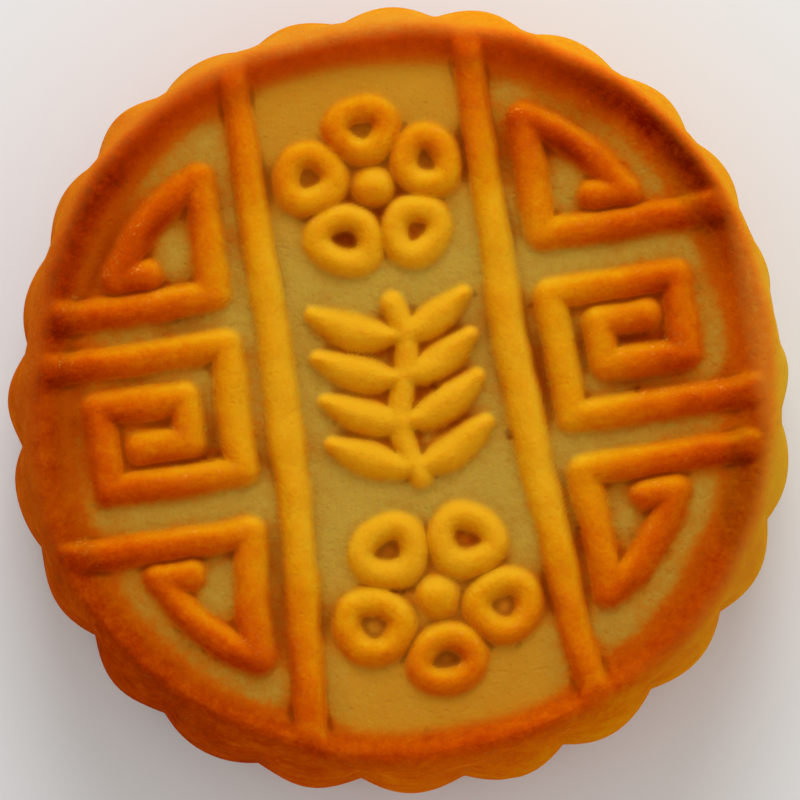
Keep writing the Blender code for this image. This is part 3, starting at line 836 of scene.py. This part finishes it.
def rimTone(tree, here, colour):
    # over the ridges' tone, the rim's slope is painted redder and brighter towards +Y, where it faces away
    # from the lamp (painted light), and is duller towards -X and in patches
    x, y = here["x"], here["y"]
    dull = summed(tree, crust["dull"], (y, crust["dullPerY"]), (x, crust["dullPerX"]), clamp=True)
    lower = ranged(tree, maths(tree, "SUBTRACT", x, y), *inMm(crust["dullCorner"]))
    dull = maths(tree, "ADD", dull, lower, clamp=True)
    outside = maths(tree, "ADD", maths(tree, "ADD", here["brink"], here["foot"]), here["side"], clamp=True)
    dull = summed(tree, product(tree, dull, outside), (here["foot"], crust["dullFoot"]), clamp=True)
    offMiddle, farX = crust["dullPatches"]
    patches = product(tree, ranged(tree, x, *inMm(farX)), here["slope"])
    offMiddle = ranged(tree, maths(tree, "ABSOLUTE", y), *inMm(offMiddle))
    dull = summed(tree, dull, (offMiddle, patches), clamp=True)
    paintedGlow = product(tree, ranged(tree, y, *inMm(crust["paintedGlow"])), here["slope"])
    colour = mixed(tree, paintedGlow, colour, tone(*crust["paintedGlowTone"]))
    colour = mixed(tree, dull, colour, tone(*crust["dullTone"]), "MULTIPLY")

    # the crest's outer edge is painted paler, most towards +X and +Y, nearest the lamp: painted sheen
    sheen = summed(tree, crust["sheen"], (x, crust["sheenPerX"]), (y, crust["sheenPerY"]), clamp=True)
    least, leastPerY = crust["sheenLeast"]
    sheen = maths(tree, "MAXIMUM", sheen, summed(tree, least, (y, leastPerY)))
    where = maths(tree, "MAXIMUM", here["sheenBand"], ranged(tree, x, *inMm(crust["sheenFar"])))
    mean, fleckPart = crust["sheenFleck"]
    sheen = product(tree, sheen, where, summed(tree, mean, (here["fleck"], fleckPart)))
    turn = ranged(tree, here["across"], *inMm(crust["sheenTurn"]))
    pale, amber = crust["sheenTones"]
    return mixed(tree, sheen, colour, mixed(tree, turn, tone(*pale), tone(*amber)))


def fineTone(tree, here, colour):
    # painted shade in tight hollows and in narrow channels, dark specks painted as speckled shade in hollows,
    # and pale painted glints on flanks facing +Y, towards the lamp
    # tight hollows darkened: painted shade
    creaseShade = ranged(tree, here["hollow"], *crust["creaseShadeFrom"])
    creaseShade = product(tree, creaseShade, here["topOnly"], here["offRim"])
    colour = mixed(tree, creaseShade, colour, tone(*crust["creaseShadeTone"]), "MULTIPLY")
    # narrow channels between ridges darkened in patches: painted shade
    channelShade = product(tree, ranged(tree, here["patch"], *crust["channelShadeFrom"]), here["channel"])
    colour = mixed(tree, channelShade, colour, tone(*crust["channelShadeTone"]), "MULTIPLY")
    # dark specks in hollows only: painted shade, speckled
    specks = ranged(tree, noise(tree, here["place"], crust["speckScale"], 3.0), *crust["speckFrom"])
    low = ranged(tree, here["hollow"], *crust["speckHollow"])
    specks = product(tree, specks, product(tree, low, here["topOnly"]))
    colour = mixed(tree, specks, colour, tone(*crust["speckShadeTone"]), "MULTIPLY")
    # pale painted glints on flanks facing +Y, towards the lamp
    glints = ranged(tree, here["skin"].outputs["Fleck"], *crust["glintFrom"])
    flank = ranged(tree, here["facesPlusY"], *crust["glintFlank"])
    scattered = ranged(tree, here["patch"], *crust["glintPatch"])
    glints = product(tree, glints, flank, product(tree, here["ridge"], scattered), here["offRim"])
    return mixed(tree, glints, colour, tone(*crust["glintTone"]))


def makeCrust():
    material, tree, shader = newMaterial("bakedCrust")
    here = crustPlace(tree)
    ridgeTone = placeGroup(tree, ovenGroup, {"Bake": bakeHere(tree, here)}).outputs["Colour"]
    colour = mixed(tree, here["ridge"], groundTone(tree, here), ridgeTone)
    colour = fineTone(tree, here, rimTone(tree, here, colour))
    rough = summed(tree, crust["roughness"], (here["ridge"], crust["ridgeRough"]),
                   (here["skin"].outputs["Fleck"], crust["fleckRough"]),
                   (here["side"], crust["sideRough"]), clamp=True)
    tree.links.new(colour, shader.inputs["Base Color"])
    tree.links.new(rough, shader.inputs["Roughness"])
    bumped(tree, shader, here["skin"], crust)
    shader.inputs["Specular IOR Level"].default_value = 0.0
    shader.inputs["Subsurface Weight"].default_value = crust["waxiness"]
    shader.inputs["Subsurface Radius"].default_value = crust["waxSpread"]
    shader.inputs["Subsurface Scale"].default_value = crust["waxDepth"]
    return material


underside = {
    "grain": 1.6, "pore": 0.9, "patchScale": 140.0,
    "bake": 0.25, "patchBake": 0.7, "fleckBake": 0.5,
    "roughness": 0.62, "specular": 0.03, "bump": 0.6, "bumpHeight": 0.00018,
}


def makeBase():
    material, tree, shader = newMaterial("bakedBase")
    place = addNode(tree, "ShaderNodeTexCoord").outputs["Object"]
    skin = doughSkin(tree, place, underside)
    fleck = maths(tree, "SUBTRACT", skin.outputs["Fleck"], 0.5)
    bake = summed(tree, underside["bake"],
                  (noise(tree, place, underside["patchScale"], 4.0), underside["patchBake"]),
                  (fleck, underside["fleckBake"]), clamp=True)
    tree.links.new(placeGroup(tree, ovenGroup, {"Bake": bake}).outputs["Colour"], shader.inputs["Base Color"])
    shader.inputs["Roughness"].default_value = underside["roughness"]
    shader.inputs["Specular IOR Level"].default_value = underside["specular"]
    bumped(tree, shader, skin, underside)
    return material


mesh.materials.append(makeCrust())
mesh.materials.append(makeBase())
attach(cake, "root")
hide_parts("mooncake")
print("crust finished")

room = {"floorSize": 1.6, "floorTone": (0.82, 0.88, 0.92, 1.0)}
half = room["floorSize"] / 2.0
floorMesh = bpy.data.meshes.new("floor")
floorMesh.from_pydata([(-half, -half, 0.0), (half, -half, 0.0), (half, half, 0.0), (-half, half, 0.0)], [],
                      [(0, 1, 2, 3)])
floor = bpy.data.objects.new("floor", floorMesh)
floor.location.z = -0.0002
bpy.context.scene.collection.objects.link(floor)
floorMaterial, floorTree, floorShader = newMaterial("paleFloor")
floorShader.inputs["Base Color"].default_value = room["floorTone"]
floorShader.inputs["Roughness"].default_value = 0.9
floorShader.inputs["Specular IOR Level"].default_value = 0.1
floorMesh.materials.append(floorMaterial)

light = {"heading": 10.0, "height": 40.0, "distance": 0.8, "size": 0.46, "power": 3.12,
         "fill": 0.68, "fillTone": (1.0, 0.93, 0.86, 1.0)}


def direction(heading, height):
    # the unit vector at a heading turned clockwise from +Y and a height above the horizon, in degrees
    heading, height = math.radians(heading), math.radians(height)
    level = math.cos(height)
    return np.array([math.sin(heading) * level, math.cos(heading) * level, math.sin(height)])


def aimed(thing, place, target, roll=0.0):
    # put a lamp or camera at a place, looking at the target, with its upper edge turned by roll from +Y
    back = (place - target) / np.linalg.norm(place - target)
    up = direction(roll, 0.0)
    right = np.cross(up, back)
    right /= np.linalg.norm(right)
    up = np.cross(back, right)
    rows = np.stack([right, up, back, place], axis=1)
    thing.matrix_world = Matrix([(*row,) for row in rows] + [(0, 0, 0, 1)])


def newLamp(name, look, heading, height, power, colour=(1.0, 1.0, 1.0)):
    lamp = bpy.data.lights.new(name, "AREA")
    lamp.shape = "DISK"
    lamp.size = look["size"]
    lamp.energy = power
    lamp.color = colour
    holder = bpy.data.objects.new(name, lamp)
    bpy.context.scene.collection.objects.link(holder)
    aimed(holder, look["distance"] * direction(heading, height), np.zeros(3))


newLamp("keyLamp", light, light["heading"], light["height"], light["power"])
world = bpy.data.worlds.new("studio")
world.use_nodes = True
world.node_tree.nodes["Background"].inputs["Color"].default_value = light["fillTone"]
world.node_tree.nodes["Background"].inputs["Strength"].default_value = light["fill"]
bpy.context.scene.world = world

view = {
    "distance": 0.55, "roll": 9.0, "tiltDown": 3.6, "tiltRight": -0.7,
    "seenWidth": 77.82,                 # mm across at the crest's height
    "aim": (-0.00015, -0.00083),        # the sight line passes this far right of and above the axis there
}
camera = bpy.data.cameras.new("camera")
camera.sensor_width = 36.0
camera.lens = camera.sensor_width * view["distance"] / (view["seenWidth"] * mm)
cameraHolder = bpy.data.objects.new("camera", camera)
bpy.context.scene.collection.objects.link(cameraHolder)
seenUp = direction(view["roll"], 0.0)
seenRight = direction(view["roll"] + 90.0, 0.0)
target = (view["aim"][0] * seenRight + view["aim"][1] * seenUp
          + np.array([0.0, 0.0, body["crestHeight"] * mm]))
sight = (np.array([0.0, 0.0, 1.0]) + math.tan(math.radians(view["tiltRight"])) * seenRight
         - math.tan(math.radians(view["tiltDown"])) * seenUp)
aimed(cameraHolder, target + view["distance"] * sight / np.linalg.norm(sight), target, view["roll"])
bpy.context.scene.camera = cameraHolder
bpy.context.scene.view_settings.view_transform = "Standard"
print("light and camera set")
